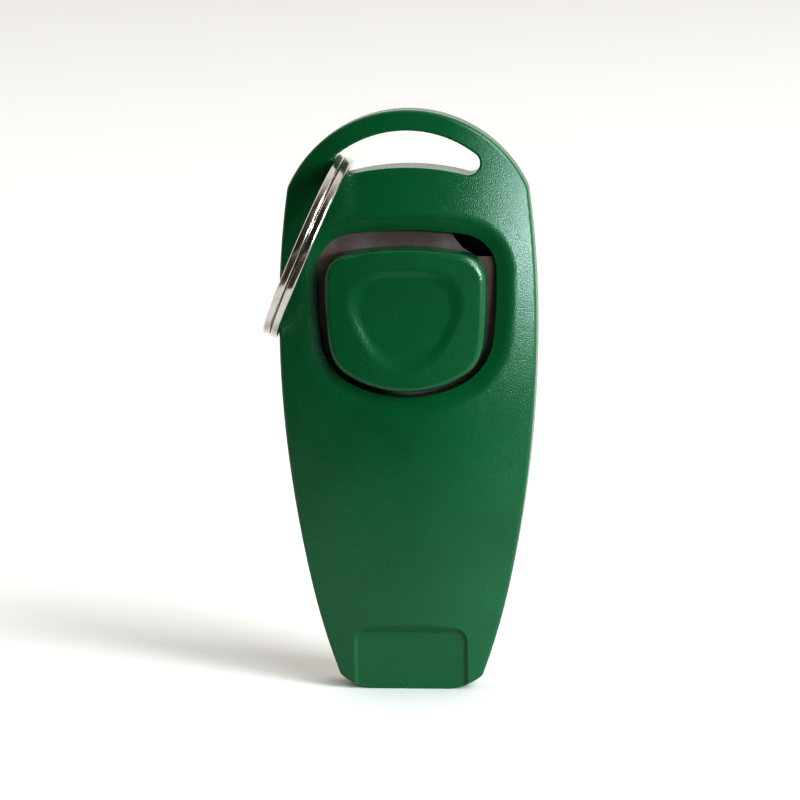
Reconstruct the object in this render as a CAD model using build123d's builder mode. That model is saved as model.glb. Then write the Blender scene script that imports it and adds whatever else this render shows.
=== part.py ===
"""Pocket dog-training clicker with a built-in whistle.

Two moulded shells close on a flat split plane.  The upper compartment holds a spring-steel blade that
snaps under a thumb button; the lower one is a fipple whistle that is blown through the end the object
stands on.  An arch with a slot crowns the top, and a two-turn split ring hangs in the slot.

Frame: +Z runs up the body from the mouthpiece end, the button faces -Y, and the origin is the middle of
the mouthpiece end face.  Millimetres.
"""

from build123d import *
from math import atan2, cos, degrees, radians, sin, sqrt
import os

# ---------------------------------------------------------------- body, front view
HEIGHT = 84.0  # mouthpiece end to the crown of the arch
HALF_WIDTH = 18.49  # at the widest level
WIDEST_Z = 54.0
ARCH_R = 18.9  # outside of the arch
SHOULDER_X = 17.25  # where the side meets the arch
SHOULDER_ROUND = 3.0
SIDE_KNEE = (14.22, 15.0)  # x, z where the side begins to run in faster
SIDE_LOWER_R = 95.0
END_CORNER = (10.35, 2.0)  # x, z of the corner beside the mouthpiece
END_FLAT = 4.8  # half width of the flat that the body stands on
END_CORNER_ROUND = 0.8

# ---------------------------------------------------------------- body, side view
CROWN_R = 50.0  # the front is round across the width
FRONT_END_Y = -4.2
FRONT_KNEE = (-6.5, 34.0)  # y, z where the straight front turns into the long arc
FRONT_TOP_Y = -1.6
BACK_Y = 4.2
BACK_KNEE_Z = 50.0
BACK_TOP_Y = 3.3
FRONT_EDGE_ROUND = 0.7
BACK_EDGE_ROUND = 0.7
SPLIT_Y = 1.0  # the shells meet on this plane
SPLIT_CHAMFER = 0.15
WALL = 1.7
REACH = 20.0  # how far cutting bodies run past what they cut

# ---------------------------------------------------------------- lanyard slot
SLOT_BAND = 2.85  # width of the arch over the slot
SLOT_FLOOR_Z = 76.0
SLOT_FLOOR_R = 33.0
SLOT_END_ROUND = 1.62
SLOT_EDGE = 0.25
SLOT_RIM_Z = (74.0, 82.2)  # the rims of the slot lie between these levels

# ---------------------------------------------------------------- button, its opening and the bezel
BUTTON_W = 22.9
BUTTON_Z = (44.3, 64.8)
BUTTON_ROUNDS = (4.0, 7.0)  # upper and lower corners
BUTTON_FACE_Y = -7.9
BUTTON_CROWN_R = 70.0
BUTTON_EDGE = 0.8
BUTTON_WALL = 1.6
BUTTON_SKIRT_Y = -3.0
DIMPLE_W = 16.2
DIMPLE_Z = (46.4, 61.8)
DIMPLE_ROUND = 4.5
DIMPLE_DEPTH = 0.6
OPENING_W = 25.5
OPENING_Z = (43.3, 67.2)
OPENING_ROUNDS = (5.4, 8.4)
BEZEL_WIDTH = 2.3  # along the front
BEZEL_DROP = 1.0  # into the wall
BEZEL_BLEND = 3.0  # round where it runs out into the front
COLLAR_WALL = 1.2
COLLAR_END_Y = -2.55

# ---------------------------------------------------------------- spring blade and its clamp
BLADE_Y = -2.5  # front face
BLADE_T = 0.4
BLADE_HALF_W = 13.6
BLADE_Z = (38.0, 68.5)
BLADE_TOP_ROUND = 3.0
TAIL_HALF_W = 7.2  # the blade narrows between the clamp bosses
TAIL_TOP_Z = 42.3
NOTCH = ((6.6, 66.2), (7.9, 64.5), (9.9, 63.2))  # cut out of one upper corner
DOME_Z = 54.2
DOME_R = 6.5
DOME_RISE = 0.6
PIVOT_Z = 40.0  # the blade rocks between two rounded noses at this level
NOSE_R = 1.0
NOSE_HALF_W = 6.2
NOSE_GAP = 0.04
PIN_R = 0.9
STUD_X = 8.8  # the button is staked to the blade by two studs
STUD_R = 1.0
STUD_HEAD = (1.7, 0.7)  # radius, height
STUD_ROUND = 0.4
POST_R = 1.5  # bears on the dome
CLAMP_X = 9.6
CLAMP_SIZE = (23.4, 4.4, 1.4)  # along x, z, y
CLAMP_FRONT_Y = -1.3
CLAMP_BOSS_R = 1.9
CLAMP_ROUND = 1.5
PLAY = 0.1  # loose fit of pins and shanks in their holes
BLADE_CORNER = 1.2

# ---------------------------------------------------------------- whistle
CHANNEL_HALF_W = 6.4
CHANNEL_FRONT_Y = -2.5
BLOCK_FIT = 0.05
BLOCK_EDGE = 0.4
BLOCK_TOP_Z = 12.0
WINDWAY_HALF_W = 4.9
WINDWAY_BACK_Y = 2.2
WINDOW_TOP_Z = 16.4
LABIUM_Y = (1.45, 1.75)  # thin edge that splits the air jet
RAMP_TOP_Z = 24.5
LABIUM_ROOT_Z = 27.0
CHAMBER_TOP_Z = 34.4
CASE_BOTTOM_Z = 36.2  # the bulkhead lies between the two levels
CASE_TOP_Z = 71.2
END_RECESS_HALF_W = 7.7  # at the floor
END_RECESS_TOP_Z = 8.5
END_RECESS_DEPTH = 1.15  # in the middle of the crown; the floor is flat from side to side
END_RECESS_TAPER = 52.0  # lean of its sides and its top, from the direction of the depth
END_RECESS_ROUND = 1.2

# ---------------------------------------------------------------- fasteners and ring
CASE_SCREWS = {"upper_left": (-13.6, 66.4), "upper_right": (13.6, 66.4), "lower": (0.0, 35.3)}
BOSS_R = 2.2
SHANK_R = 0.85
SCREW_FIT = 0.02
CASE_HEAD = (1.75, 1.1)  # radius, height
CASE_HEAD_SINK = 1.35
CASE_SCREW_LENGTH = 3.9
CLAMP_HEAD = (1.6, 0.9)
CLAMP_SCREW_LENGTH = 3.4
RING_OD = 28.0
RING_WIRE = (1.3, 1.15)  # along the radius, along the ring's axis
RING_WIRE_ROUND = 0.33
RING_GAP = 0.05
RING_JOG = 15.0  # half the angle over which the wire steps from one turn to the other
RING_JOG_AT = 262.0  # round the ring from its top, by way of the front
RING_LEAN = 23.7  # from the vertical, in the front view
RING_CENTRE = (-14.45, 0.6, 64.31)

CROWN_AXIS_Y = FRONT_KNEE[0] + CROWN_R
ARCH_Z = HEIGHT - ARCH_R
OUT = "parts"
os.makedirs(OUT, exist_ok=True)


def facing(y):
    """Plane parallel to the split plane at this y; extrusions from it grow towards the front."""
    return Plane.XZ.offset(-y)


def arc_radius(run, rise):
    """Radius of an arc that starts along the run and has climbed by the rise at its end."""
    return (run**2 + rise**2) / (2 * rise)


def body_outline():
    """Front view of the body: arch, long sides that taper down, and the rounded mouthpiece end."""
    shoulder_z = ARCH_Z + sqrt(ARCH_R**2 - SHOULDER_X**2)
    side_r = arc_radius(WIDEST_Z - SIDE_KNEE[1], HALF_WIDTH - SIDE_KNEE[0])
    upper_r = arc_radius(shoulder_z - WIDEST_Z, HALF_WIDTH - SHOULDER_X)
    end_r = arc_radius(END_CORNER[0] - END_FLAT, END_CORNER[1])
    with BuildSketch(Plane.XZ) as sketch:
        with BuildLine():
            Line((0, 0), (END_FLAT, 0))
            RadiusArc((END_FLAT, 0), END_CORNER, -end_r)
            RadiusArc(END_CORNER, SIDE_KNEE, -SIDE_LOWER_R)
            RadiusArc(SIDE_KNEE, (HALF_WIDTH, WIDEST_Z), -side_r)
            RadiusArc((HALF_WIDTH, WIDEST_Z), (SHOULDER_X, shoulder_z), -upper_r)
            RadiusArc((SHOULDER_X, shoulder_z), (0, HEIGHT), -ARCH_R)
            Line((0, HEIGHT), (0, 0))
        make_face()
        mirror(about=Plane.YZ)
        shoulders = sketch.vertices().filter_by(lambda v: abs(abs(v.X) - SHOULDER_X) < 0.01)
        fillet(shoulders, SHOULDER_ROUND)
        ends = sketch.vertices().filter_by(lambda v: abs(abs(v.X) - END_CORNER[0]) < 0.01)
        fillet(ends, END_CORNER_ROUND)
    return sketch.sketch


def body_form(inset):
    """Body with every outer face moved in by the inset, edges still sharp."""
    knee = Vector(*FRONT_KNEE)
    along = Vector(FRONT_KNEE[0] - FRONT_END_Y, FRONT_KNEE[1]).normalized()
    square = Vector(along.Y, -along.X)
    chord = Vector(FRONT_TOP_Y, HEIGHT) - knee
    front_r = chord.dot(chord) / (2 * chord.dot(square))
    top_way = (chord - square * front_r).normalized()
    back_r = arc_radius(HEIGHT - BACK_KNEE_Z, BACK_Y - BACK_TOP_Y)
    back_top = Vector(BACK_TOP_Y - BACK_Y + back_r, HEIGHT - BACK_KNEE_Z).normalized()
    back_end = Vector(BACK_Y - back_r, BACK_KNEE_Z) + back_top * (back_r - inset)
    with BuildPart() as form:
        with BuildSketch(Plane.XZ):
            add(outline)
            if inset:
                offset(amount=-inset)
        extrude(amount=REACH, both=True)
        with BuildSketch(Plane.YZ):
            with BuildLine():
                bend = knee + square * inset
                low = bend - along * (FRONT_KNEE[1] + REACH)
                high = knee + square * front_r + top_way * (front_r - inset)
                Line(low, bend)
                RadiusArc(bend, high, front_r - inset)
                run_out = high + Vector(-top_way.Y, top_way.X) * -REACH
                Polyline(high, run_out, (CROWN_AXIS_Y, run_out.Y), (CROWN_AXIS_Y, low.Y), low)
            make_face()
        revolve(axis=Axis((0, CROWN_AXIS_Y, 0), (0, 0, 1)), mode=Mode.INTERSECT)
        with BuildSketch(Plane.YZ):
            with BuildLine():
                back = BACK_Y - inset
                Line((back, -REACH), (back, BACK_KNEE_Z))
                RadiusArc((back, BACK_KNEE_Z), back_end, -(back_r - inset))
                past = back_end + Vector(-back_top.Y, back_top.X) * REACH
                far = CROWN_AXIS_Y
                Polyline(back_end, past, (far, past.Y), (far, -REACH), (back, -REACH))
            make_face()
        extrude(amount=REACH, both=True, mode=Mode.SUBTRACT)
    return form.part


def shield(width, levels, rounds, grow=0.0):
    """Outline shared by the button and its opening: arched top, near-straight sides, round bottom."""
    low, high = levels[0] - grow, levels[1] + grow
    width = width + 2 * grow
    top_r, bottom_r, side_r = 4 * width / 2, 0.7 * width, 2.7 * width
    top_x, bottom_x = 0.494 * width, 0.466 * width
    top_z = high - top_r + sqrt(top_r**2 - top_x**2)
    bottom_z = low + bottom_r - sqrt(bottom_r**2 - bottom_x**2)
    with BuildSketch(Plane.XZ) as sketch:
        with BuildLine():
            RadiusArc((0, low), (bottom_x, bottom_z), -bottom_r)
            RadiusArc((bottom_x, bottom_z), (top_x, top_z), -side_r)
            RadiusArc((top_x, top_z), (0, high), -top_r)
            Line((0, high), (0, low))
        make_face()
        mirror(about=Plane.YZ)
        corners = sketch.vertices().filter_by(lambda v: abs(v.X) > bottom_x - 0.01)
        fillet(corners.filter_by(lambda v: v.Y > (low + high) / 2), rounds[0] + grow)
        corners = sketch.vertices().filter_by(lambda v: abs(abs(v.X) - bottom_x) < 0.01)
        fillet(corners.filter_by(lambda v: v.Y < (low + high) / 2), rounds[1] + grow)
    return sketch.sketch


def wedge(width, levels, corner_round):
    """Rounded triangle that points down, the shape of the thumb dimple."""
    low, high = levels
    with BuildSketch(Plane.XZ) as sketch:
        with BuildLine():
            RadiusArc((0, low), (width * 0.53, high - 1.2), -width * 1.5)
            RadiusArc((width * 0.53, high - 1.2), (0, high), -width * 2)
            Line((0, high), (0, low))
        make_face()
        mirror(about=Plane.YZ)
        fillet(sketch.vertices().filter_by(lambda v: abs(v.X) > 1), corner_round)
        fillet(sketch.vertices().sort_by(Axis.Y)[0], corner_round)
    return sketch.sketch


def screw(x, z, seat_y, head, length):
    """Self-tapping cross-head screw whose head bears on the seat and whose shank points to the front."""
    head_r, head_h = head
    with BuildPart() as body:
        with BuildSketch(facing(seat_y + head_h)):
            with Locations((x, z)):
                Circle(head_r)
        extrude(amount=head_h)
        fillet(body.edges().sort_by(Axis.Y)[-1], 0.35 * head_h)
        with BuildSketch(facing(seat_y)):
            with Locations((x, z)):
                Circle(SHANK_R)
        extrude(amount=length)
        chamfer(body.edges().sort_by(Axis.Y)[0], 0.4 * SHANK_R)
        with BuildSketch(facing(seat_y + head_h)):
            with Locations((x, z)):
                Rectangle(1.1 * head_r, 0.24 * head_r)
                Rectangle(0.24 * head_r, 1.1 * head_r)
        extrude(amount=0.55 * head_h, mode=Mode.SUBTRACT)
    return body.part


outline = body_outline()
opening = shield(OPENING_W, OPENING_Z, OPENING_ROUNDS)

# ---------------------------------------------------------------- outer form with the arch slot
with BuildPart() as hull:
    add(body_form(0))
    front_edges = hull.edges().filter_by(lambda e: e.center().Y < -1)
    fillet(front_edges, FRONT_EDGE_ROUND)
    back_edges = hull.edges().filter_by(lambda e: e.center().Y > BACK_TOP_Y - 0.2)
    fillet(back_edges, BACK_EDGE_ROUND)
    with BuildSketch(Plane.XZ) as slot:
        with Locations((0, ARCH_Z)):
            Circle(ARCH_R - SLOT_BAND)
        with Locations((0, SLOT_FLOOR_Z - SLOT_FLOOR_R)):
            Circle(SLOT_FLOOR_R, mode=Mode.SUBTRACT)
        fillet(slot.vertices(), SLOT_END_ROUND)
    extrude(amount=REACH, both=True, mode=Mode.SUBTRACT)
    slot_rims = hull.edges().filter_by(
        lambda e: abs(e.center().Y) > SPLIT_Y + 0.5
        and abs(e.center().X) < ARCH_R - SLOT_BAND
        and SLOT_RIM_Z[0] < e.center().Z < SLOT_RIM_Z[1]
    )
    fillet(slot_rims, SLOT_EDGE)

# ---------------------------------------------------------------- hollow spaces inside the two shells
with BuildPart() as hollow:
    add(body_form(WALL))
    with Locations((0, 0, (CASE_BOTTOM_Z + CHAMBER_TOP_Z) / 2)):
        Box(3 * HALF_WIDTH, REACH, CASE_BOTTOM_Z - CHAMBER_TOP_Z, mode=Mode.SUBTRACT)
    with Locations((0, 0, BLOCK_TOP_Z / 2)):
        Box(3 * HALF_WIDTH, REACH, BLOCK_TOP_Z, mode=Mode.SUBTRACT)
    with Locations((0, 0, (CASE_TOP_Z + HEIGHT) / 2)):
        Box(3 * HALF_WIDTH, REACH, HEIGHT - CASE_TOP_Z, mode=Mode.SUBTRACT)

# ---------------------------------------------------------------- front shell
with BuildPart() as end_recess:
    lean_back = degrees(atan2(FRONT_END_Y - FRONT_KNEE[0], FRONT_KNEE[1]))
    floor_plane = Plane((0, FRONT_END_Y + END_RECESS_DEPTH, 0), x_dir=(1, 0, 0), z_dir=(0, -1, 0))
    with BuildSketch(floor_plane.rotated((lean_back, 0, 0))) as recess_floor:
        Rectangle(2 * END_RECESS_HALF_W, 2 * END_RECESS_TOP_Z)
        fillet(recess_floor.vertices(), END_RECESS_ROUND)
    extrude(amount=3 * END_RECESS_DEPTH, taper=-END_RECESS_TAPER)

with BuildPart() as front_shell:
    add(hull.part)
    with Locations((0, SPLIT_Y + REACH / 2, HEIGHT / 2)):
        Box(3 * HALF_WIDTH, REACH, 2 * HEIGHT, mode=Mode.SUBTRACT)
    rim = front_shell.faces().filter_by(Plane.XZ).sort_by(Axis.Y)[-1].outer_wire().edges()
    chamfer(rim, SPLIT_CHAMFER)
    add(hollow.part, mode=Mode.SUBTRACT)
    add(end_recess.part, mode=Mode.SUBTRACT)
    # collar round the opening
    with BuildSketch(facing(COLLAR_END_Y)):
        add(shield(OPENING_W, OPENING_Z, OPENING_ROUNDS, COLLAR_WALL))
    extrude(until=Until.NEXT)
    # bosses for the case screws and the blade clamp
    with BuildSketch(facing(SPLIT_Y)):
        with Locations(*CASE_SCREWS.values()):
            Circle(BOSS_R)
    extrude(until=Until.NEXT)
    with BuildSketch(facing(CLAMP_FRONT_Y)):
        with Locations((-CLAMP_X, PIVOT_Z), (CLAMP_X, PIVOT_Z)):
            Circle(CLAMP_BOSS_R)
    extrude(until=Until.NEXT)
    # rounded nose that the tail of the blade rocks on, with its locating pin
    with BuildSketch(Plane.YZ):
        with Locations((BLADE_Y - NOSE_GAP - NOSE_R, PIVOT_Z)):
            Circle(NOSE_R)
            with Locations((-NOSE_R, 0)):
                Rectangle(2 * NOSE_R, 2 * NOSE_R)
    extrude(amount=NOSE_HALF_W, both=True)
    with BuildSketch(facing(BLADE_Y + BLADE_T + 0.8)):
        with Locations((0, PIVOT_Z)):
            Circle(PIN_R)
    extrude(amount=2)
    # opening for the button, its sloping bezel and the room for the blade
    with BuildSketch(Plane.XZ):
        add(opening)
    extrude(amount=REACH, both=True, mode=Mode.SUBTRACT)
    crown = front_shell.faces().filter_by(GeomType.REVOLUTION).sort_by(SortBy.AREA)[-1]
    mouth = crown.edges().filter_by(
        lambda e: abs(e.center().X) < OPENING_W / 2 + 0.3
        and OPENING_Z[0] - 0.2 < e.center().Z < OPENING_Z[1] + 0.2
    )
    chamfer(mouth, BEZEL_WIDTH, BEZEL_DROP, reference=crown)
    crown = front_shell.faces().filter_by(GeomType.REVOLUTION).sort_by(SortBy.AREA)[-1]
    run_out = crown.edges().filter_by(
        lambda e: abs(e.center().X) < OPENING_W / 2 + BEZEL_BLEND
        and OPENING_Z[0] - BEZEL_BLEND < e.center().Z < OPENING_Z[1] + BEZEL_BLEND
    )
    fillet(run_out, BEZEL_BLEND)
    with BuildSketch(facing(SPLIT_Y)):
        with Locations((0, (BLADE_Z[0] + BLADE_Z[1]) / 2)):
            RectangleRounded(2 * BLADE_HALF_W + 0.6, BLADE_Z[1] - BLADE_Z[0] + 0.6, BLADE_TOP_ROUND)
        with Locations((0, PIVOT_Z)):
            Rectangle(2 * BLADE_HALF_W + 1, 5, mode=Mode.SUBTRACT)
        with Locations(*CASE_SCREWS.values()):
            Circle(BOSS_R, mode=Mode.SUBTRACT)
    extrude(amount=SPLIT_Y - COLLAR_END_Y, mode=Mode.SUBTRACT)
    # channel for the fipple block
    with BuildSketch(facing(SPLIT_Y)):
        with Locations((0, BLOCK_TOP_Z / 2)):
            Rectangle(2 * CHANNEL_HALF_W, BLOCK_TOP_Z)
    extrude(amount=SPLIT_Y - CHANNEL_FRONT_Y, mode=Mode.SUBTRACT)
    # pilot holes
    with BuildSketch(facing(SPLIT_Y)):
        with Locations(*CASE_SCREWS.values()):
            Circle(SHANK_R + SCREW_FIT)
    extrude(amount=CASE_SCREW_LENGTH - 1, mode=Mode.SUBTRACT)
    with BuildSketch(facing(CLAMP_FRONT_Y)):
        with Locations((-CLAMP_X, PIVOT_Z), (CLAMP_X, PIVOT_Z)):
            Circle(SHANK_R + SCREW_FIT)
    extrude(amount=CLAMP_SCREW_LENGTH - CLAMP_SIZE[2] + 0.1, mode=Mode.SUBTRACT)
front_shell.part.label = "front_shell"
export_step(front_shell.part, OUT + "/front_shell.step")

# ---------------------------------------------------------------- rear shell
with BuildPart() as rear_shell:
    add(hull.part)
    with Locations((0, SPLIT_Y - REACH / 2, HEIGHT / 2)):
        Box(3 * HALF_WIDTH, REACH, 2 * HEIGHT, mode=Mode.SUBTRACT)
    rim = rear_shell.faces().filter_by(Plane.XZ).sort_by(Axis.Y)[0].outer_wire().edges()
    chamfer(rim, SPLIT_CHAMFER)
    add(hollow.part, mode=Mode.SUBTRACT)
    # seats of the case screws
    with BuildSketch(facing(SPLIT_Y)):
        with Locations(*CASE_SCREWS.values()):
            Circle(BOSS_R)
    extrude(amount=-(BACK_Y - SPLIT_Y - CASE_HEAD_SINK))
    for x, z in CASE_SCREWS.values():
        with BuildSketch(facing(BACK_Y - CASE_HEAD_SINK)):
            with Locations((x, z)):
                Circle(CASE_HEAD[0] + 0.15)
        extrude(amount=-REACH, mode=Mode.SUBTRACT)
        with BuildSketch(facing(0)):
            with Locations((x, z)):
                Circle(SHANK_R + PLAY)
        extrude(amount=-REACH, mode=Mode.SUBTRACT)
    # windway, sound window and the ramp down to the labium
    with Locations((0, 0, BLOCK_TOP_Z / 2)):
        Box(2 * WINDWAY_HALF_W, 2 * WINDWAY_BACK_Y, BLOCK_TOP_Z + 0.1, mode=Mode.SUBTRACT)
    with Locations((0, 0, (BLOCK_TOP_Z + WINDOW_TOP_Z) / 2)):
        Box(2 * WINDWAY_HALF_W, REACH, WINDOW_TOP_Z - BLOCK_TOP_Z, mode=Mode.SUBTRACT)
    with BuildSketch(Plane.YZ):
        with BuildLine():
            tip_in, tip_out = (LABIUM_Y[0], WINDOW_TOP_Z), (LABIUM_Y[1], WINDOW_TOP_Z)
            root = (BACK_Y - WALL, LABIUM_ROOT_Z)
            Polyline(tip_in, tip_out, (BACK_Y, RAMP_TOP_Z), (BACK_Y, LABIUM_ROOT_Z), root, tip_in)
        make_face()
    extrude(amount=WINDWAY_HALF_W, both=True)
    with BuildSketch(Plane.YZ):
        with BuildLine():
            Polyline(tip_out, (BACK_Y, RAMP_TOP_Z), (REACH, RAMP_TOP_Z), (REACH, WINDOW_TOP_Z), tip_out)
        make_face()
    extrude(amount=WINDWAY_HALF_W, both=True, mode=Mode.SUBTRACT)
rear_shell.part.label = "rear_shell"
export_step(rear_shell.part, OUT + "/rear_shell.step")

# ---------------------------------------------------------------- plug in the mouthpiece
with BuildPart() as fipple_block:
    with Locations((0, (CHANNEL_FRONT_Y + SPLIT_Y) / 2, BLOCK_TOP_Z / 2)):
        Box(2 * (CHANNEL_HALF_W - BLOCK_FIT), SPLIT_Y - CHANNEL_FRONT_Y, BLOCK_TOP_Z)
    add(body_form(0), mode=Mode.INTERSECT)
    top_back = fipple_block.edges().filter_by(Axis.X).group_by(Axis.Z)[-1].sort_by(Axis.Y)[-1]
    chamfer(top_back, BLOCK_EDGE)
fipple_block.part.label = "fipple_block"
export_step(fipple_block.part, OUT + "/fipple_block.step")

# ---------------------------------------------------------------- spring blade
with BuildPart() as spring_blade:
    low, high = BLADE_Z
    with BuildSketch(facing(BLADE_Y + BLADE_T)) as sheet:
        with Locations((0, (TAIL_TOP_Z + high) / 2)):
            Rectangle(2 * BLADE_HALF_W, high - TAIL_TOP_Z)
        with Locations((0, (low + TAIL_TOP_Z) / 2)):
            Rectangle(2 * TAIL_HALF_W, TAIL_TOP_Z - low)
        tips = sheet.vertices().group_by(Axis.Y)[-1]
        fillet(sheet.vertices() - tips, BLADE_CORNER)
        fillet(sheet.vertices().group_by(Axis.Y)[-1], BLADE_TOP_ROUND)
        with BuildLine():
            Polyline((BLADE_HALF_W + 1, high + 1), (NOTCH[0][0], high + 1), *NOTCH,
                     (BLADE_HALF_W + 1, NOTCH[-1][1]), (BLADE_HALF_W + 1, high + 1))
        make_face(mode=Mode.SUBTRACT)
        with Locations(CASE_SCREWS["upper_left"]):
            Circle(BOSS_R + 0.4, mode=Mode.SUBTRACT)
        with Locations((0, PIVOT_Z)):
            Circle(PIN_R + 0.15, mode=Mode.SUBTRACT)
        with Locations((-STUD_X, DOME_Z), (STUD_X, DOME_Z)):
            Circle(STUD_R + 0.05, mode=Mode.SUBTRACT)
        with Locations((0, DOME_Z)):
            Circle(DOME_R, mode=Mode.SUBTRACT)
    extrude(amount=BLADE_T)
    with BuildSketch(Plane.YZ):
        with BuildLine():
            cap_r = arc_radius(DOME_R, DOME_RISE)
            rim_z, crown_y = DOME_Z + DOME_R, BLADE_Y - DOME_RISE
            RadiusArc((BLADE_Y, rim_z), (crown_y, DOME_Z), cap_r)
            Line((crown_y, DOME_Z), (crown_y + BLADE_T, DOME_Z))
            RadiusArc((crown_y + BLADE_T, DOME_Z), (BLADE_Y + BLADE_T, rim_z), -cap_r)
            Line((BLADE_Y + BLADE_T, rim_z), (BLADE_Y, rim_z))
        make_face()
    revolve(axis=Axis((0, 0, DOME_Z), (0, 1, 0)))
spring_blade.part.label = "spring_blade"
export_step(spring_blade.part, OUT + "/spring_blade.step")

# ---------------------------------------------------------------- thumb button
button_outline = shield(BUTTON_W, BUTTON_Z, BUTTON_ROUNDS)
with BuildPart() as clicker_button:
    with BuildSketch(facing(BUTTON_SKIRT_Y)):
        add(button_outline)
    extrude(amount=BUTTON_SKIRT_Y - BUTTON_FACE_Y)
    with BuildSketch(Plane.XY.offset(BUTTON_Z[0] - 1)):
        with Locations((0, BUTTON_FACE_Y + BUTTON_CROWN_R)):
            Circle(BUTTON_CROWN_R)
    extrude(amount=BUTTON_Z[1] - BUTTON_Z[0] + 2, mode=Mode.INTERSECT)
    face_edges = clicker_button.faces().sort_by(Axis.Y)[0].edges()
    fillet(face_edges, BUTTON_EDGE)
    with BuildSketch(facing(BUTTON_FACE_Y + DIMPLE_DEPTH)):
        add(wedge(DIMPLE_W - 2 * DIMPLE_DEPTH, DIMPLE_Z, DIMPLE_ROUND))
    extrude(amount=2 * DIMPLE_DEPTH, taper=-45, mode=Mode.SUBTRACT)
    with BuildSketch(facing(BUTTON_SKIRT_Y)):
        add(shield(BUTTON_W, BUTTON_Z, BUTTON_ROUNDS, -BUTTON_WALL))
    extrude(amount=BUTTON_SKIRT_Y - BUTTON_FACE_Y - BUTTON_WALL - DIMPLE_DEPTH, mode=Mode.SUBTRACT)
    # studs through the blade, swaged behind it, and the post that bears on the dome
    with BuildSketch(facing(BLADE_Y)):
        with Locations((-STUD_X, DOME_Z), (STUD_X, DOME_Z)):
            Circle(STUD_HEAD[0])
    extrude(until=Until.NEXT)
    with BuildSketch(facing(BLADE_Y + BLADE_T)):
        with Locations((-STUD_X, DOME_Z), (STUD_X, DOME_Z)):
            Circle(STUD_R)
    extrude(amount=BLADE_T)
    with BuildSketch(facing(BLADE_Y + BLADE_T + STUD_HEAD[1])):
        with Locations((-STUD_X, DOME_Z), (STUD_X, DOME_Z)):
            Circle(STUD_HEAD[0])
    extrude(amount=STUD_HEAD[1])
    fillet(clicker_button.edges().group_by(Axis.Y)[-1], STUD_ROUND)
    with BuildSketch(facing(BLADE_Y - DOME_RISE)):
        with Locations((0, DOME_Z)):
            Circle(POST_R)
    extrude(until=Until.NEXT)
clicker_button.part.label = "clicker_button"
export_step(clicker_button.part, OUT + "/clicker_button.step")

# ---------------------------------------------------------------- clamp that traps the tail of the blade
with BuildPart() as blade_clamp:
    wide, tall, thick = CLAMP_SIZE
    with BuildSketch(facing(CLAMP_FRONT_Y + thick)):
        with Locations((0, PIVOT_Z)):
            RectangleRounded(wide, tall, CLAMP_ROUND)
    extrude(amount=thick)
    with BuildSketch(Plane.YZ):
        with Locations((BLADE_Y + BLADE_T + NOSE_GAP + NOSE_R, PIVOT_Z)):
            Circle(NOSE_R)
    extrude(amount=NOSE_HALF_W, both=True)
    with BuildSketch(facing(CLAMP_FRONT_Y + thick)):
        with Locations((0, PIVOT_Z)):
            Circle(PIN_R + PLAY)
        with Locations((-CLAMP_X, PIVOT_Z), (CLAMP_X, PIVOT_Z)):
            Circle(SHANK_R + PLAY)
    extrude(amount=2 * thick, mode=Mode.SUBTRACT)
blade_clamp.part.label = "blade_clamp"
export_step(blade_clamp.part, OUT + "/blade_clamp.step")

# ---------------------------------------------------------------- screws
for side, x in {"left": -CLAMP_X, "right": CLAMP_X}.items():
    clamp_screw = screw(x, PIVOT_Z, CLAMP_FRONT_Y + CLAMP_SIZE[2], CLAMP_HEAD, CLAMP_SCREW_LENGTH)
    clamp_screw.label = "clamp_screw_" + side
    export_step(clamp_screw, OUT + "/clamp_screw_" + side + ".step")
for place, (x, z) in CASE_SCREWS.items():
    case_screw = screw(x, z, BACK_Y - CASE_HEAD_SINK, CASE_HEAD, CASE_SCREW_LENGTH)
    case_screw.label = "case_screw_" + place
    export_step(case_screw, OUT + "/case_screw_" + place + ".step")

# ---------------------------------------------------------------- split ring, wound about its own axis
wire_r, wire_a = RING_WIRE
mean_r = (RING_OD - wire_r) / 2
lift = (wire_a + RING_GAP) / 2


def wire_section(angle, height):
    """Cross-section of the flat wire at an angle round the ring and a height along its axis."""
    out = Vector(cos(radians(angle)), sin(radians(angle)), 0)
    place = Plane(out * mean_r + Vector(0, 0, height), x_dir=out, z_dir=Vector(-out.Y, out.X, 0))
    with BuildSketch(place) as cut:
        RectangleRounded(wire_r, wire_a, RING_WIRE_ROUND)
    return cut.sketch


with BuildPart() as coil:
    for turn, start in ((-lift, RING_JOG_AT + RING_JOG), (lift, RING_JOG_AT + RING_JOG)):
        add(wire_section(start, turn))
        revolve(axis=Axis.Z, revolution_arc=360 - 2 * RING_JOG)
    for part_way in range(5):
        share = part_way / 4
        ease = share * share * (3 - 2 * share)
        add(wire_section(RING_JOG_AT + RING_JOG * (2 * share - 1), lift * (2 * ease - 1)))
    loft()
lean = radians(RING_LEAN)
ring_plane = Plane(RING_CENTRE, x_dir=(sin(lean), 0, cos(lean)), z_dir=(cos(lean), 0, -sin(lean)))
split_ring = ring_plane.location * coil.part
split_ring.label = "split_ring"
export_step(split_ring, OUT + "/split_ring.step")
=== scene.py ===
"""Pocket clicker trainer with a whistle mouthpiece, standing on its blown end with a key ring in its arch."""

import bpy
import numpy as np
from mathutils import Matrix, Vector


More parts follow.
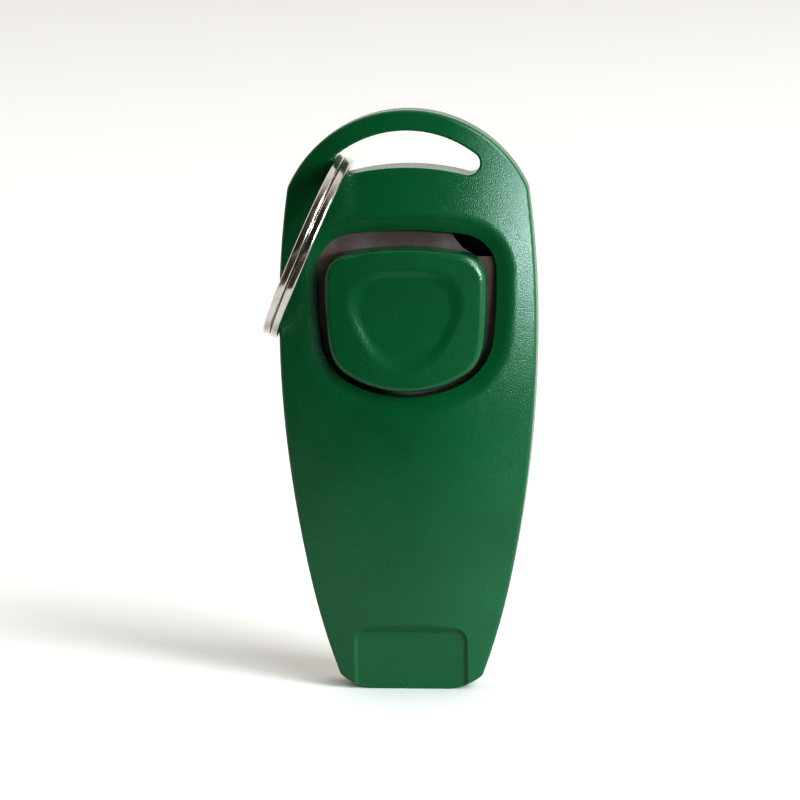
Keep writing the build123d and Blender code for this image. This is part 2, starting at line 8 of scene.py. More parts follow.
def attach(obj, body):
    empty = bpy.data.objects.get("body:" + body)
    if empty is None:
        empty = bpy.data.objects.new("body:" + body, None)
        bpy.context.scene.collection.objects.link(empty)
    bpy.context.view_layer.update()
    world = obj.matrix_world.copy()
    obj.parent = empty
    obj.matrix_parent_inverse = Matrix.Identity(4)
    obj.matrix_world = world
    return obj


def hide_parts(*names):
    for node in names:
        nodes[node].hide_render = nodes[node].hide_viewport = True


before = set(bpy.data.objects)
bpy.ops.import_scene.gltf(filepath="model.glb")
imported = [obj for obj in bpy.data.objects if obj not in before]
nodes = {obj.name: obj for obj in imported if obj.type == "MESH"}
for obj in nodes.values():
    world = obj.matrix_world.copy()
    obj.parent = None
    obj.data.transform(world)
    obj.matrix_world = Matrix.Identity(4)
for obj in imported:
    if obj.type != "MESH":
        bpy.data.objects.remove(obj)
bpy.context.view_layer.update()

# ---------------------------------------------------------------- table, light and camera
# A white paper table that runs on past the horizon, a soft window high on the right, a wide low panel on the
# right, a room that is bright behind and dim in front, and a long lens.
scene = bpy.context.scene
scene.view_settings.view_transform = "Standard"
scene.view_settings.look = "High Contrast"

table_reach = 4.0
table_mesh = bpy.data.meshes.new("table")
table_mesh.from_pydata(
    [(-table_reach, -table_reach, 0), (table_reach, -table_reach, 0),
     (table_reach, table_reach, 0), (-table_reach, table_reach, 0)],
    [], [(0, 1, 2, 3)],
)
table = bpy.data.objects.new("table", table_mesh)
scene.collection.objects.link(table)
table_paper = bpy.data.materials.new("table_paper")
table_paper.use_nodes = True
paper_skin = table_paper.node_tree.nodes["Principled BSDF"]
paper_skin.inputs["Base Color"].default_value = (0.9, 0.895, 0.885, 1)
paper_skin.inputs["Roughness"].default_value = 0.95
paper_skin.inputs["Specular IOR Level"].default_value = 0.1
table_mesh.materials.append(table_paper)

room = bpy.data.worlds.new("room")
room.use_nodes = True
scene.world = room
room_tree = room.node_tree
room_light = room_tree.nodes["Background"]
seen_room = room_tree.nodes.new("ShaderNodeBackground")
seen_room.inputs["Strength"].default_value = 1.0
seen_room.inputs["Color"].default_value = (1, 1, 1, 1)
room_way = room_tree.nodes.new("ShaderNodeTexCoord")
room_split = room_tree.nodes.new("ShaderNodeSeparateXYZ")
room_depth = room_tree.nodes.new("ShaderNodeMapRange")
room_depth.interpolation_type = "SMOOTHSTEP"
room_depth.inputs["From Min"].default_value = -0.6
room_depth.inputs["From Max"].default_value = 0.4
room_tone = room_tree.nodes.new("ShaderNodeMix")
room_tone.data_type = "RGBA"
room_tone.inputs[6].default_value = (0.045, 0.036, 0.028, 1)
room_tone.inputs[7].default_value = (0.845, 0.82, 0.79, 1)
room_ray = room_tree.nodes.new("ShaderNodeLightPath")
room_mix = room_tree.nodes.new("ShaderNodeMixShader")
room_tree.links.new(room_way.outputs["Generated"], room_split.inputs[0])
room_tree.links.new(room_split.outputs["Y"], room_depth.inputs["Value"])
room_tree.links.new(room_depth.outputs[0], room_tone.inputs[0])
room_tree.links.new(room_tone.outputs[2], room_light.inputs["Color"])
room_light.inputs["Strength"].default_value = 1.0
room_tree.links.new(room_ray.outputs["Is Camera Ray"], room_mix.inputs[0])
room_tree.links.new(room_light.outputs[0], room_mix.inputs[1])
room_tree.links.new(seen_room.outputs[0], room_mix.inputs[2])
room_tree.links.new(room_mix.outputs[0], room_tree.nodes["World Output"].inputs["Surface"])

middle = Vector((0, 0, 0.042))


def facing_from(azimuth, elevation):
    """Unit vector towards a compass angle, counted from the front to the right, and a height angle."""
    a, e = np.radians(azimuth), np.radians(elevation)
    return Vector((np.sin(a) * np.cos(e), -np.cos(a) * np.cos(e), np.sin(e)))


def soft_window(name, azimuth, elevation, distance, size, watts, colour):
    """Rectangular area lamp at two angles and a distance from the middle of the object, facing it."""
    data = bpy.data.lights.new(name, "AREA")
    data.shape = "RECTANGLE"
    data.size, data.size_y = size
    data.energy = watts
    data.color = colour
    lamp = bpy.data.objects.new(name, data)
    lamp.location = middle + facing_from(azimuth, elevation) * distance
    lamp.rotation_euler = (-facing_from(azimuth, elevation)).to_track_quat("-Z", "Y").to_euler()
    scene.collection.objects.link(lamp)


soft_window("high_window", 57, 36, 4.0, (1.8, 1.8), 98, (0.97, 0.99, 1.0))
soft_window("low_window", 48, 9.5, 1.5, (1.0, 0.22), 22, (0.82, 0.96, 1.0))

# Dark card lying on the table in front of the object: it shows only in reflections and shades nothing.
card_half, card_near, card_far, card_lift = 0.9, -1.3, -0.075, 0.001
card_mesh = bpy.data.meshes.new("dark_card")
card_mesh.from_pydata(
    [(-card_half, card_near, card_lift), (card_half, card_near, card_lift),
     (card_half, card_far, card_lift), (-card_half, card_far, card_lift)],
    [], [(0, 1, 2, 3)],
)
card = bpy.data.objects.new("dark_card", card_mesh)
card.visible_camera = False
card.visible_shadow = False
scene.collection.objects.link(card)
card_brown = bpy.data.materials.new("card_brown")
card_brown.use_nodes = True
card_skin = card_brown.node_tree.nodes["Principled BSDF"]
card_skin.inputs["Base Color"].default_value = (0.05, 0.033, 0.022, 1)
card_skin.inputs["Roughness"].default_value = 0.9
card_mesh.materials.append(card_brown)

lens = bpy.data.cameras.new("camera")
camera = bpy.data.objects.new("camera", lens)
scene.collection.objects.link(camera)
scene.camera = camera
camera_distance, view_width, camera_roll = 0.55, 0.11545, np.radians(-0.7)
camera_azimuth, camera_elevation = 4.8, 9.5
lens.sensor_width = 36.0
lens.clip_start, lens.clip_end = 0.01, 20
lens.lens = lens.sensor_width * camera_distance / view_width
camera_aim = Vector((-0.00145, 0, 0.0420))
back_to_camera = facing_from(camera_azimuth, camera_elevation)
camera.location = camera_aim + back_to_camera * camera_distance
camera_turn = (-back_to_camera).to_track_quat("-Z", "Y").to_matrix() @ Matrix.Rotation(camera_roll, 3, "Z")
camera.rotation_euler = camera_turn.to_euler()

# ---------------------------------------------------------------- two shells and the mouthpiece plug
# Injection-moulded ABS, dyed through in a deep green.  The steel of the mould was spark-eroded, so the skin
# has a fine even grain, a little rubbed and scratched where it has been in a pocket.


def add_node(tree, kind, values=(), **settings):
    """New shader node in a tree, with its settings, and with its sockets set or linked by name."""
    node = tree.nodes.new(kind)
    for name, value in settings.items():
        setattr(node, name, value)
    for name, value in dict(values).items():
        if isinstance(value, bpy.types.NodeSocket):
            tree.links.new(value, node.inputs[name])
        else:
            node.inputs[name].default_value = value
    return node


def new_group(name, inputs, outputs):
    """Empty shader node group with named inputs (with values) and outputs, and its two end nodes."""
    tree = bpy.data.node_groups.new(name, "ShaderNodeTree")
    for socket, kind, value in inputs:
        made = tree.interface.new_socket(name=socket, in_out="INPUT", socket_type=kind)
        made.default_value = value
    for socket, kind in outputs:
        tree.interface.new_socket(name=socket, in_out="OUTPUT", socket_type=kind)
    return tree, tree.nodes.new("NodeGroupInput"), tree.nodes.new("NodeGroupOutput")


def place_group(tree, group, **values):
    """Puts a node group in a material and sets its inputs."""
    node = tree.nodes.new("ShaderNodeGroup")
    node.node_tree = group
    for name, value in values.items():
        node.inputs[name.replace("_", " ")].default_value = value
    return node


# Spark-eroded skin: cells and fine noise of one size in millimetres give a height and a fleck mask, the
# flecks being painted glints.
grain_and_glint_group, grain_in, grain_out = new_group(
    "spark_grain_and_painted_glints",
    [("Cells per mm", "NodeSocketFloat", 4.5)],
    [("Height", "NodeSocketFloat"), ("Painted glint flecks", "NodeSocketFloat")],
)
grain_place = add_node(grain_and_glint_group, "ShaderNodeTexCoord")
grain_rate = add_node(grain_and_glint_group, "ShaderNodeMath",
                      {0: grain_in.outputs["Cells per mm"], 1: 1000.0}, operation="MULTIPLY")
grain_cells = add_node(grain_and_glint_group, "ShaderNodeTexVoronoi",
                       {"Vector": grain_place.outputs["Object"], "Scale": grain_rate.outputs[0],
                        "Randomness": 1.0}, feature="SMOOTH_F1")
grain_noise = add_node(grain_and_glint_group, "ShaderNodeTexNoise",
                       {"Vector": grain_place.outputs["Object"], "Scale": grain_rate.outputs[0],
                        "Detail": 3.0, "Roughness": 0.6})
grain_sum = add_node(grain_and_glint_group, "ShaderNodeMath",
                     {0: grain_cells.outputs["Distance"], 1: grain_noise.outputs["Fac"]},
                     operation="MULTIPLY")
# Painted glints: flecks where the fine noise runs high, mixed paler into the plastic's colour.
painted_glint_flecks = add_node(grain_and_glint_group, "ShaderNodeMapRange",
                        {"Value": grain_noise.outputs["Fac"], "From Min": 0.56, "From Max": 0.72},
                        interpolation_type="SMOOTHSTEP")
grain_and_glint_group.links.new(grain_sum.outputs[0], grain_out.inputs["Height"])
grain_and_glint_group.links.new(painted_glint_flecks.outputs[0], grain_out.inputs["Painted glint flecks"])

# Handling: two sets of long thin scratches at different slants, broken up, and a slow drift of tone.
wear_group, wear_in, wear_out = new_group(
    "handling_wear",
    [("Scratches per mm", "NodeSocketFloat", 1.4), ("Drift size mm", "NodeSocketFloat", 14.0)],
    [("Scratches", "NodeSocketFloat"), ("Drift", "NodeSocketFloat")],
)
wear_place = add_node(wear_group, "ShaderNodeTexCoord")
wear_rate = add_node(wear_group, "ShaderNodeMath",
                     {0: wear_in.outputs["Scratches per mm"], 1: 1000.0}, operation="MULTIPLY")
scratch_masks = []
for slant, thin in ((0.5, 0.016), (-0.9, 0.02)):
    turned = add_node(wear_group, "ShaderNodeMapping", {"Vector": wear_place.outputs["Object"]})
    turned.inputs["Rotation"].default_value = (0.3, slant, slant / 2)
    turned.inputs["Scale"].default_value = (1.0, 1.0, 0.045)
    lines = add_node(wear_group, "ShaderNodeTexNoise",
                     {"Vector": turned.outputs[0], "Scale": wear_rate.outputs[0], "Detail": 1.0})
    off_middle = add_node(wear_group, "ShaderNodeMath",
                          {0: lines.outputs["Fac"], 1: 0.5}, operation="SUBTRACT")
    size = add_node(wear_group, "ShaderNodeMath", {0: off_middle.outputs[0]}, operation="ABSOLUTE")
    scratch_masks.append(add_node(wear_group, "ShaderNodeMapRange",
                                  {"Value": size.outputs[0], "From Min": 0.0, "From Max": thin,
                                   "To Min": 1.0, "To Max": 0.0}))
patches = add_node(wear_group, "ShaderNodeTexNoise",
                   {"Vector": wear_place.outputs["Object"], "Scale": 210.0, "Detail": 2.0})
patch_mask = add_node(wear_group, "ShaderNodeMapRange",
                      {"Value": patches.outputs["Fac"], "From Min": 0.55, "From Max": 0.70})
both_sets = add_node(wear_group, "ShaderNodeMath",
                     {0: scratch_masks[0].outputs[0], 1: scratch_masks[1].outputs[0]}, operation="MAXIMUM")
broken = add_node(wear_group, "ShaderNodeMath",
                  {0: both_sets.outputs[0], 1: patch_mask.outputs[0]}, operation="MULTIPLY")
drift_rate = add_node(wear_group, "ShaderNodeMath",
                      {0: 1000.0, 1: wear_in.outputs["Drift size mm"]}, operation="DIVIDE")
drift = add_node(wear_group, "ShaderNodeTexNoise",
                 {"Vector": wear_place.outputs["Object"], "Scale": drift_rate.outputs[0], "Detail": 2.0})
wear_group.links.new(broken.outputs[0], wear_out.inputs["Scratches"])
wear_group.links.new(drift.outputs["Fac"], wear_out.inputs["Drift"])


def moulded_plastic(name, deep, bright, roughness, cells, bump, specular):
    """Dyed plastic: colour drifts between two tones, grain flecks are painted a little paler as glints, and
    scratches are a little paler as wear.
    """
    made = bpy.data.materials.new(name)
    made.use_nodes = True
    tree = made.node_tree
    skin = tree.nodes["Principled BSDF"]
    grain = place_group(tree, grain_and_glint_group, Cells_per_mm=cells)
    wear = place_group(tree, wear_group)
    tone = add_node(tree, "ShaderNodeMapRange",
                    {"Value": wear.outputs["Drift"], "From Min": 0.35, "From Max": 0.65})
    body_colour = add_node(tree, "ShaderNodeMix", {0: tone.outputs[0], 6: (*deep, 1), 7: (*bright, 1)},
                           data_type="RGBA")
    # Painted glints and real wear: the grain flecks paint this paler tone in as glints, and the scratches as
    # rubbed plastic.
    glint_and_scratch_pale = tuple(3.0 * c + 0.012 for c in bright)
    painted_glint_share = add_node(tree, "ShaderNodeMath", {0: grain.outputs["Painted glint flecks"], 1: 0.16},
                           operation="MULTIPLY")
    scratch_share = add_node(tree, "ShaderNodeMath", {0: wear.outputs["Scratches"], 1: 0.05},
                             operation="MULTIPLY")
    share = add_node(tree, "ShaderNodeMath", {0: painted_glint_share.outputs[0], 1: scratch_share.outputs[0]},
                     operation="MAXIMUM")
    colour = add_node(tree, "ShaderNodeMix",
                      {0: share.outputs[0], 6: body_colour.outputs[2], 7: (*glint_and_scratch_pale, 1)}, data_type="RGBA")
    tree.links.new(colour.outputs[2], skin.inputs["Base Color"])
    gloss = add_node(tree, "ShaderNodeMapRange",
                     {"Value": wear.outputs["Drift"], "From Min": 0.3, "From Max": 0.7,
                      "To Min": roughness - 0.04, "To Max": roughness + 0.04})
    gloss_worn = add_node(tree, "ShaderNodeMath", {0: share.outputs[0], 1: 0.15, 2: gloss.outputs[0]},
                          operation="MULTIPLY_ADD")
    tree.links.new(gloss_worn.outputs[0], skin.inputs["Roughness"])
    relief = add_node(tree, "ShaderNodeBump", {"Height": grain.outputs["Height"], "Strength": bump,
                                               "Distance": 0.00012})
    tree.links.new(relief.outputs[0], skin.inputs["Normal"])
    skin.inputs["Specular IOR Level"].default_value = specular
    return made


green_abs = moulded_plastic("green_abs", deep=(0.0026, 0.077, 0.0265), bright=(0.0031, 0.088, 0.0310),
                            roughness=0.25, cells=6.6, bump=0.32, specular=0.5)
for name in ("front_shell", "rear_shell", "fipple_block"):
    nodes[name].material_slots[0].material = green_abs

# ---------------------------------------------------------------- thumb button
# Hollow cap of the same green ABS with a rounded rim and a soft dimple for the thumb, moulded with two
# studs that are swaged behind the spring blade and a post that bears on the blade's dome.
BUTTON_WIDTH, BUTTON_LOW, BUTTON_HIGH = 22.9, 44.3, 64.8
BUTTON_FRONT, BUTTON_BACK, BUTTON_CROWN, BUTTON_RIM, BUTTON_WALL = -7.9, -3.0, 70.0, 0.9, 1.6
BUTTON_MIDDLE_Z = (BUTTON_LOW + BUTTON_HIGH) / 2
BUTTON_UPPER_BLEND, BUTTON_LOWER_BLEND = 3.1, 1.8
DIMPLE_LOW, DIMPLE_HIGH, DIMPLE_WIDTH, DIMPLE_DEEP = 46.6, 61.8, 17.0, 0.40
DIMPLE_SIDE_BLEND, DIMPLE_TOP_BLEND = 9.0, 6.0
DIMPLE_STEP_OUT, DIMPLE_STEP_WIDE = 0.5, 1.9  # where the step starts outside the outline, and its width
BOWL_DEEP, BOWL_REACH = 0.12, 6.0
BLADE_FRONT, BLADE_THICK, DOME_Z, STUD_X = -2.5, 0.4, 54.2, 8.8
STUD_R, STUD_NECK_R, POST_R = 1.7, 1.0, 1.5
OUTLINE_POINTS, PIN_POINTS, RAY_REACH, HALVINGS = 360, 48, 16.0, 32


def closed_skin(name, rings):
    """Closed surface over rings of points: quads from each ring to the next, a fan to the middle of the
    first and of the last ring, faces turned outwards, and a UV map of ring number and share of the ring."""
    count, around = rings.shape[:2]
    i, j = np.meshgrid(np.arange(count - 1), np.arange(around), indexing="ij")
    after = (j + 1) % around
    quads = np.stack([i * around + j, i * around + after, (i + 1) * around + after, (i + 1) * around + j], -1)
    quads = quads.reshape(-1, 4)
    points = np.vstack([rings.reshape(-1, 3), rings[0].mean(0)[None], rings[-1].mean(0)[None]])
    turn = np.arange(around)
    start, end = count * around, count * around + 1
    last = (count - 1) * around
    first_fan = np.stack([np.full(around, start), (turn + 1) % around, turn], -1)
    last_fan = np.stack([np.full(around, end), last + turn, last + (turn + 1) % around], -1)
    fans = np.vstack([first_fan, last_fan])
    triangles = np.vstack([quads[:, [0, 1, 2]], quads[:, [0, 2, 3]], fans])
    corner = points[triangles]
    volume = np.einsum("ij,ij->i", corner[:, 0], np.cross(corner[:, 1], corner[:, 2])).sum()
    uv_quads = np.stack([np.stack([i, j], -1), np.stack([i, j + 1], -1), np.stack([i + 1, j + 1], -1),
                         np.stack([i + 1, j], -1)], -2).reshape(-1, 4, 2) / (1.0, around)
    uv_fans = np.repeat(np.array([[[0.0, 0.0]], [[count - 1.0, 0.0]]]), around, 0).reshape(-1, 1, 2)
    uv_fans = np.repeat(uv_fans, 3, 1)
    if volume < 0:
        quads, fans = quads[:, ::-1], fans[:, ::-1]
        uv_quads = uv_quads[:, ::-1]
    mesh = bpy.data.meshes.new(name)
    mesh.from_pydata((points / 1000.0).tolist(), [], quads.tolist() + fans.tolist())
    uv = mesh.uv_layers.new(name="run")
    uv.data.foreach_set("uv", np.concatenate([uv_quads.ravel(), uv_fans.ravel()]).astype(np.float32))
    mesh.polygons.foreach_set("use_smooth", np.ones(len(mesh.polygons), bool))
    mesh.update()
    piece = bpy.data.objects.new(name, mesh)
    scene.collection.objects.link(piece)
    return piece


def round_disc(x, z, centre_x, centre_z, radius):
    """How far a point lies outside a circle; below zero inside it."""
    return np.hypot(x - centre_x, z - centre_z) - radius


def soft_larger(a, b, blend):
    """The larger of two values, raised by up to a quarter of the blend where they are nearly equal."""
    share = np.clip(blend - np.abs(a - b), 0, None) / blend
    return np.maximum(a, b) + share * share * blend / 4


def arc_centre(start, end, radius):
    """Centre of the circle of a radius through two points, on the left of the way from start to end."""
    start, end = np.array(start), np.array(end)
    half = (end - start) / 2
    reach = np.sqrt(radius**2 - half @ half)
    return (start + half) + reach * np.array([-half[1], half[0]]) / np.hypot(*half)


def button_edge(x, z):
    """Signed distance to the button's outline: inside an upper arc, a lower arc and two long side arcs,
    with the corners between them rounded."""
    width = BUTTON_WIDTH
    top_r, bottom_r, side_r = 2.0 * width, 0.7 * width, 2.7 * width
    top_x, bottom_x = 0.494 * width, 0.466 * width
    top_corner = (top_x, BUTTON_HIGH - top_r + np.sqrt(top_r**2 - top_x**2))
    bottom_corner = (bottom_x, BUTTON_LOW + bottom_r - np.sqrt(bottom_r**2 - bottom_x**2))
    side = round_disc(np.abs(x), z, *arc_centre(bottom_corner, top_corner, side_r), side_r)
    upper = soft_larger(round_disc(x, z, 0, BUTTON_HIGH - top_r, top_r), side, BUTTON_UPPER_BLEND)
    return soft_larger(upper, round_disc(x, z, 0, BUTTON_LOW + bottom_r, bottom_r), BUTTON_LOWER_BLEND)


def dimple_edge(x, z):
    """Signed distance to the dimple's outline: a rounded triangle, point down, with bowed sides."""
    corner = (0.53 * DIMPLE_WIDTH, DIMPLE_HIGH - 1.2)
    side_r, top_r = 1.5 * DIMPLE_WIDTH, 2.0 * DIMPLE_WIDTH
    centre = arc_centre((0.0, DIMPLE_LOW - 2.2), corner, side_r)
    right = round_disc(x, z, *centre, side_r)
    left = round_disc(-x, z, *centre, side_r)
    sides = soft_larger(left, right, DIMPLE_SIDE_BLEND)
    return soft_larger(sides, round_disc(x, z, 0, DIMPLE_HIGH - top_r, top_r), DIMPLE_TOP_BLEND)


def outline_at(inset, angle):
    """Points of the button's outline moved in by an inset, found by halving along each ray."""
    near, far = np.zeros_like(inset + angle), np.full_like(inset + angle, RAY_REACH)
    for _ in range(HALVINGS):
        half = (near + far) / 2
        inside = button_edge(half * np.sin(angle), BUTTON_MIDDLE_Z + half * np.cos(angle)) < -inset
        near, far = np.where(inside, half, near), np.where(inside, far, half)
    return near * np.sin(angle), BUTTON_MIDDLE_Z + near * np.cos(angle)


def button_front_y(x, z):
    """The crowned face: a cylinder across the width, sunk inside the dimple by a smooth step and a slight
    bowl."""
    inside = np.clip((DIMPLE_STEP_OUT - dimple_edge(x, z)) / DIMPLE_STEP_WIDE, 0, 1)
    step = inside * inside * (3 - 2 * inside)
    crown = BUTTON_FRONT + BUTTON_CROWN - np.sqrt(BUTTON_CROWN**2 - x**2)
    return crown + DIMPLE_DEEP * step + BOWL_DEEP * np.clip(-dimple_edge(x, z) / BOWL_REACH, 0, 1)


around_button = np.linspace(0, 2 * np.pi, OUTLINE_POINTS, endpoint=False)[None, :]
face_share = np.linspace(0.012, 1, 84)[:, None]
rim_x, rim_z = outline_at(np.array([[BUTTON_RIM]]), around_button)
face_x, face_z = face_share * rim_x, BUTTON_MIDDLE_Z + face_share * (rim_z - BUTTON_MIDDLE_Z)
face_rings = np.stack([face_x, button_front_y(face_x, face_z), face_z], -1)
roll = np.linspace(0, np.pi / 2, 12)[1:, None]
roll_x, roll_z = outline_at(BUTTON_RIM * (1 - np.sin(roll)), around_button)
roll_y = button_front_y(roll_x, roll_z) + BUTTON_RIM * (1 - np.cos(roll))
roll_rings = np.stack([roll_x, roll_y, roll_z], -1)
skirt_share = np.linspace(0, 1, 8)[1:, None]
skirt_x, skirt_z = (np.repeat(edge[-1:], len(skirt_share), 0) for edge in (roll_x, roll_z))
skirt_y = roll_y[-1:] + skirt_share * (BUTTON_BACK - 0.2 - roll_y[-1:])
skirt_rings = np.stack([skirt_x, skirt_y, skirt_z], -1)
lip_inset = np.array([0.06, 0.2, BUTTON_WALL, BUTTON_WALL, BUTTON_WALL])[:, None]
lip_x, lip_z = outline_at(lip_inset, around_button)
ceiling_y = BUTTON_FRONT + BUTTON_WALL + DIMPLE_DEEP + 1.0
lip_y = np.array([BUTTON_BACK - 0.06, BUTTON_BACK, BUTTON_BACK, ceiling_y + 0.2, ceiling_y])
lip_y = lip_y[:, None] + 0 * lip_x
lip_rings = np.stack([lip_x, lip_y, lip_z], -1)
ceiling_share = np.linspace(0.98, 0.03, 24)[:, None]
ceiling_rings = np.stack([ceiling_share * lip_x[-1:], ceiling_y + 0 * ceiling_share * lip_x[-1:],
                          BUTTON_MIDDLE_Z + ceiling_share * (lip_z[-1:] - BUTTON_MIDDLE_Z)], -1)
cap_rings = np.vstack([face_rings, roll_rings, skirt_rings, lip_rings, ceiling_rings])
thumb_cap = closed_skin("thumb_cap", cap_rings)


def turned_pin(name, x, profile):
    """Pin turned about a line along Y through x and the dome's level: radius and y along the profile."""
    radius, depth = np.array(profile).T[:, :, None]
    angle = np.linspace(0, 2 * np.pi, PIN_POINTS, endpoint=False)[None, :]
    return closed_skin(name, np.stack([x + radius * np.sin(angle), depth + 0 * angle,
                                       DOME_Z + radius * np.cos(angle)], -1))


stud_seat, stud_back = BLADE_FRONT, BLADE_FRONT + BLADE_THICK
pin_root = ceiling_y - 0.3  # sunk into the cap
stud_profile = [(STUD_R, pin_root), (STUD_R, stud_seat), (STUD_NECK_R, stud_seat), (STUD_NECK_R, stud_back),
                (STUD_R, stud_back), (STUD_R, stud_back + 0.35), (1.58, stud_back + 0.58),
                (1.3, stud_back + 0.7)]
stud_left = turned_pin("stud_left", -STUD_X, stud_profile)
stud_right = turned_pin("stud_right", STUD_X, stud_profile)
post_profile = [(POST_R, pin_root), (POST_R, stud_seat - 0.75), (POST_R - 0.15, stud_seat - 0.6)]
dome_post = turned_pin("dome_post", 0.0, post_profile)
for piece in (thumb_cap, stud_left, stud_right, dome_post):
    piece.data.materials.append(green_abs)
    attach(piece, "clicker")
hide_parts("clicker_button")

# ---------------------------------------------------------------- spring blade
# Hardened strip steel, blanked, pierced and dished under a press, left grey with its rolling marks.
blade_steel = bpy.data.materials.new("blade_steel")
blade_steel.use_nodes = True
steel_tree = blade_steel.node_tree
steel_skin = steel_tree.nodes["Principled BSDF"]
steel_skin.inputs["Metallic"].default_value = 0.85
steel_place = add_node(steel_tree, "ShaderNodeTexCoord")
steel_run = add_node(steel_tree, "ShaderNodeMapping", {"Vector": steel_place.outputs["Object"]})
steel_run.inputs["Scale"].default_value = (1.0, 1.0, 0.03)
rolling_marks = add_node(steel_tree, "ShaderNodeTexNoise",
                         {"Vector": steel_run.outputs[0], "Scale": 9000.0, "Detail": 2.0})
steel_wear = place_group(steel_tree, wear_group, Scratches_per_mm=2.0, Drift_size_mm=5.0)
steel_tone = add_node(steel_tree, "ShaderNodeMapRange",
                      {"Value": steel_wear.outputs["Drift"], "From Min": 0.35, "From Max": 0.65})
steel_colour = add_node(steel_tree, "ShaderNodeMix",
                        {0: steel_tone.outputs[0], 6: (0.160, 0.115, 0.103, 1), 7: (0.225, 0.192, 0.194, 1)},
                        data_type="RGBA")
steel_tree.links.new(steel_colour.outputs[2], steel_skin.inputs["Base Color"])
steel_gloss = add_node(steel_tree, "ShaderNodeMapRange",
                       {"Value": rolling_marks.outputs["Fac"], "To Min": 0.52, "To Max": 0.72})
steel_tree.links.new(steel_gloss.outputs[0], steel_skin.inputs["Roughness"])
steel_relief = add_node(steel_tree, "ShaderNodeBump",
                        {"Height": rolling_marks.outputs["Fac"], "Strength": 0.25, "Distance": 0.00003})
steel_tree.links.new(steel_relief.outputs[0], steel_skin.inputs["Normal"])
nodes["spring_blade"].material_slots[0].material = blade_steel

# ---------------------------------------------------------------- clamp bar and screws
# Black acetal bar, and self-tapping screws of zinc-plated steel with a cloudy passivated skin.
clamp_black = moulded_plastic("clamp_black", deep=(0.012, 0.012, 0.013), bright=(0.018, 0.018, 0.019),
                              roughness=0.42, cells=3.0, bump=0.25, specular=0.5)
nodes["blade_clamp"].material_slots[0].material = clamp_black

screw_zinc = bpy.data.materials.new("screw_zinc")
screw_zinc.use_nodes = True
zinc_tree = screw_zinc.node_tree
zinc_skin = zinc_tree.nodes["Principled BSDF"]
zinc_skin.inputs["Metallic"].default_value = 1.0
zinc_wear = place_group(zinc_tree, wear_group, Scratches_per_mm=3.0, Drift_size_mm=1.2)
zinc_grain = place_group(zinc_tree, grain_and_glint_group, Cells_per_mm=9.0)
zinc_colour = add_node(zinc_tree, "ShaderNodeMix",
                       {0: zinc_wear.outputs["Drift"], 6: (0.46, 0.48, 0.52, 1), 7: (0.66, 0.66, 0.62, 1)},
                       data_type="RGBA")
zinc_tree.links.new(zinc_colour.outputs[2], zinc_skin.inputs["Base Color"])
zinc_gloss = add_node(zinc_tree, "ShaderNodeMapRange",
                      {"Value": zinc_wear.outputs["Drift"], "To Min": 0.25, "To Max": 0.5})
zinc_tree.links.new(zinc_gloss.outputs[0], zinc_skin.inputs["Roughness"])
zinc_relief = add_node(zinc_tree, "ShaderNodeBump",
                       {"Height": zinc_grain.outputs["Height"], "Strength": 0.2, "Distance": 0.00003})
zinc_tree.links.new(zinc_relief.outputs[0], zinc_skin.inputs["Normal"])
for name in ("case_screw_upper_left", "case_screw_upper_right", "case_screw_lower",
             "clamp_screw_left", "clamp_screw_right"):
    nodes[name].material_slots[0].material = screw_zinc

# ---------------------------------------------------------------- key ring
# Flat steel wire wound close into two turns that cross over in one short step, nickel plated and tumbled.
RING_OUTSIDE, WIRE_HIGH, WIRE_WIDE, WIRE_ROUND, TURN_GAP = 28.0, 1.3, 1.15, 0.33, 0.05
RING_MIDDLE, RING_LEAN, STEP_AT, STEP_HALF = (-14.45, 0.6, 64.31), 23.7, 262.0, 15.0
WIRE_POINTS, WIRE_CORNERS = 520, 40
wire_start = STEP_AT + STEP_HALF
wire_sweep = 2 * 360.0 - 2 * STEP_HALF
wire_angle = np.linspace(wire_start, wire_start + wire_sweep, WIRE_POINTS)[:, None]
step_share = np.clip((wire_angle - (STEP_AT - STEP_HALF + 360.0)) / (2 * STEP_HALF), 0, 1)
turn_lift = (WIRE_WIDE + TURN_GAP) / 2 * (2 * step_share**2 * (3 - 2 * step_share) - 1)
corner_angle = np.linspace(0, 2 * np.pi, WIRE_CORNERS, endpoint=False)[None, :]
corner_angle = corner_angle + np.pi / (2 * WIRE_CORNERS)
wire_out = np.sign(np.cos(corner_angle)) * (WIRE_HIGH / 2 - WIRE_ROUND) + WIRE_ROUND * np.cos(corner_angle)
wire_side = np.sign(np.sin(corner_angle)) * (WIRE_WIDE / 2 - WIRE_ROUND) + WIRE_ROUND * np.sin(corner_angle)
wire_radius = (RING_OUTSIDE - WIRE_HIGH) / 2 + wire_out
turn_radians = np.radians(wire_angle)
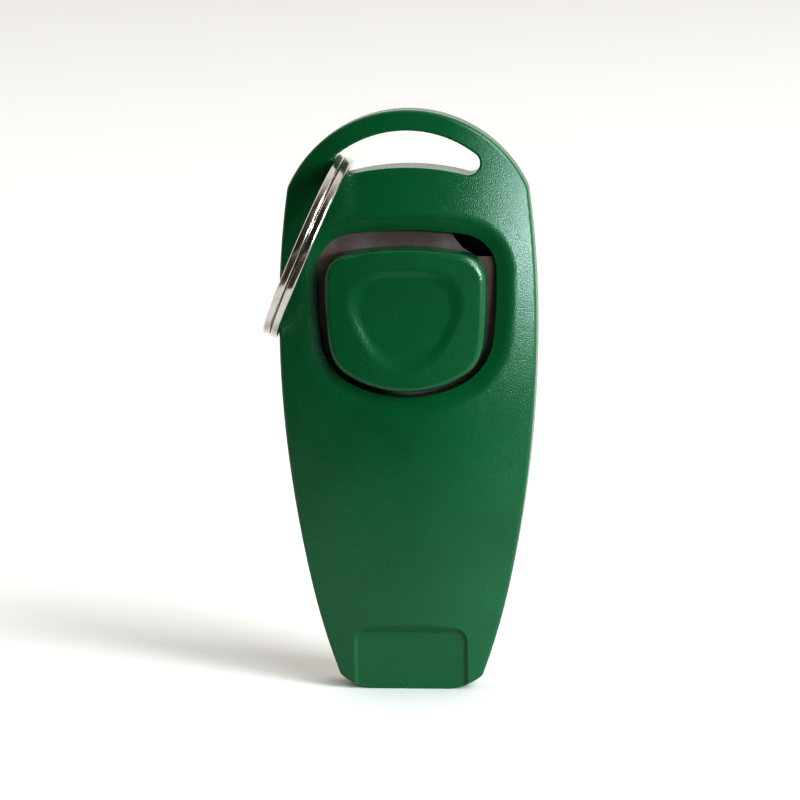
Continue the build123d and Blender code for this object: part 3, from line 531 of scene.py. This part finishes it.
along_top, along_front, along_axis = (wire_radius * np.cos(turn_radians), wire_radius * np.sin(turn_radians),
                                      turn_lift + wire_side)
lean = np.radians(RING_LEAN)
ring_rings = (np.array(RING_MIDDLE)
              + along_top[..., None] * np.array([np.sin(lean), 0, np.cos(lean)])
              + along_front[..., None] * np.array([0, -1.0, 0])
              + along_axis[..., None] * np.array([np.cos(lean), 0, -np.sin(lean)]))
key_ring = closed_skin("key_ring", ring_rings)

ring_nickel = bpy.data.materials.new("ring_nickel")
ring_nickel.use_nodes = True
nickel_tree = ring_nickel.node_tree
nickel_skin = nickel_tree.nodes["Principled BSDF"]
nickel_skin.inputs["Metallic"].default_value = 1.0
wire_run = add_node(nickel_tree, "ShaderNodeUVMap", uv_map="run")
wire_stretch = add_node(nickel_tree, "ShaderNodeMapping", {"Vector": wire_run.outputs[0]})
wire_stretch.inputs["Scale"].default_value = (0.09, 26.0, 1.0)
draw_marks = add_node(nickel_tree, "ShaderNodeTexNoise",
                      {"Vector": wire_stretch.outputs[0], "Scale": 1.0, "Detail": 3.0})
nickel_wear = place_group(nickel_tree, wear_group, Scratches_per_mm=2.5, Drift_size_mm=3.0)
nickel_colour = add_node(nickel_tree, "ShaderNodeMix",
                         {0: nickel_wear.outputs["Drift"],
                          6: (0.52, 0.47, 0.43, 1), 7: (0.64, 0.62, 0.61, 1)}, data_type="RGBA")
nickel_tree.links.new(nickel_colour.outputs[2], nickel_skin.inputs["Base Color"])
nickel_gloss = add_node(nickel_tree, "ShaderNodeMapRange",
                        {"Value": draw_marks.outputs["Fac"], "From Min": 0.35, "From Max": 0.65,
                         "To Min": 0.10, "To Max": 0.24})
nickel_tree.links.new(nickel_gloss.outputs[0], nickel_skin.inputs["Roughness"])
nickel_relief = add_node(nickel_tree, "ShaderNodeBump",
                         {"Height": draw_marks.outputs["Fac"], "Strength": 0.5, "Distance": 0.00004})
nickel_tree.links.new(nickel_relief.outputs[0], nickel_skin.inputs["Normal"])
key_ring.data.materials.append(ring_nickel)
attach(key_ring, "ring")
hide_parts("split_ring")
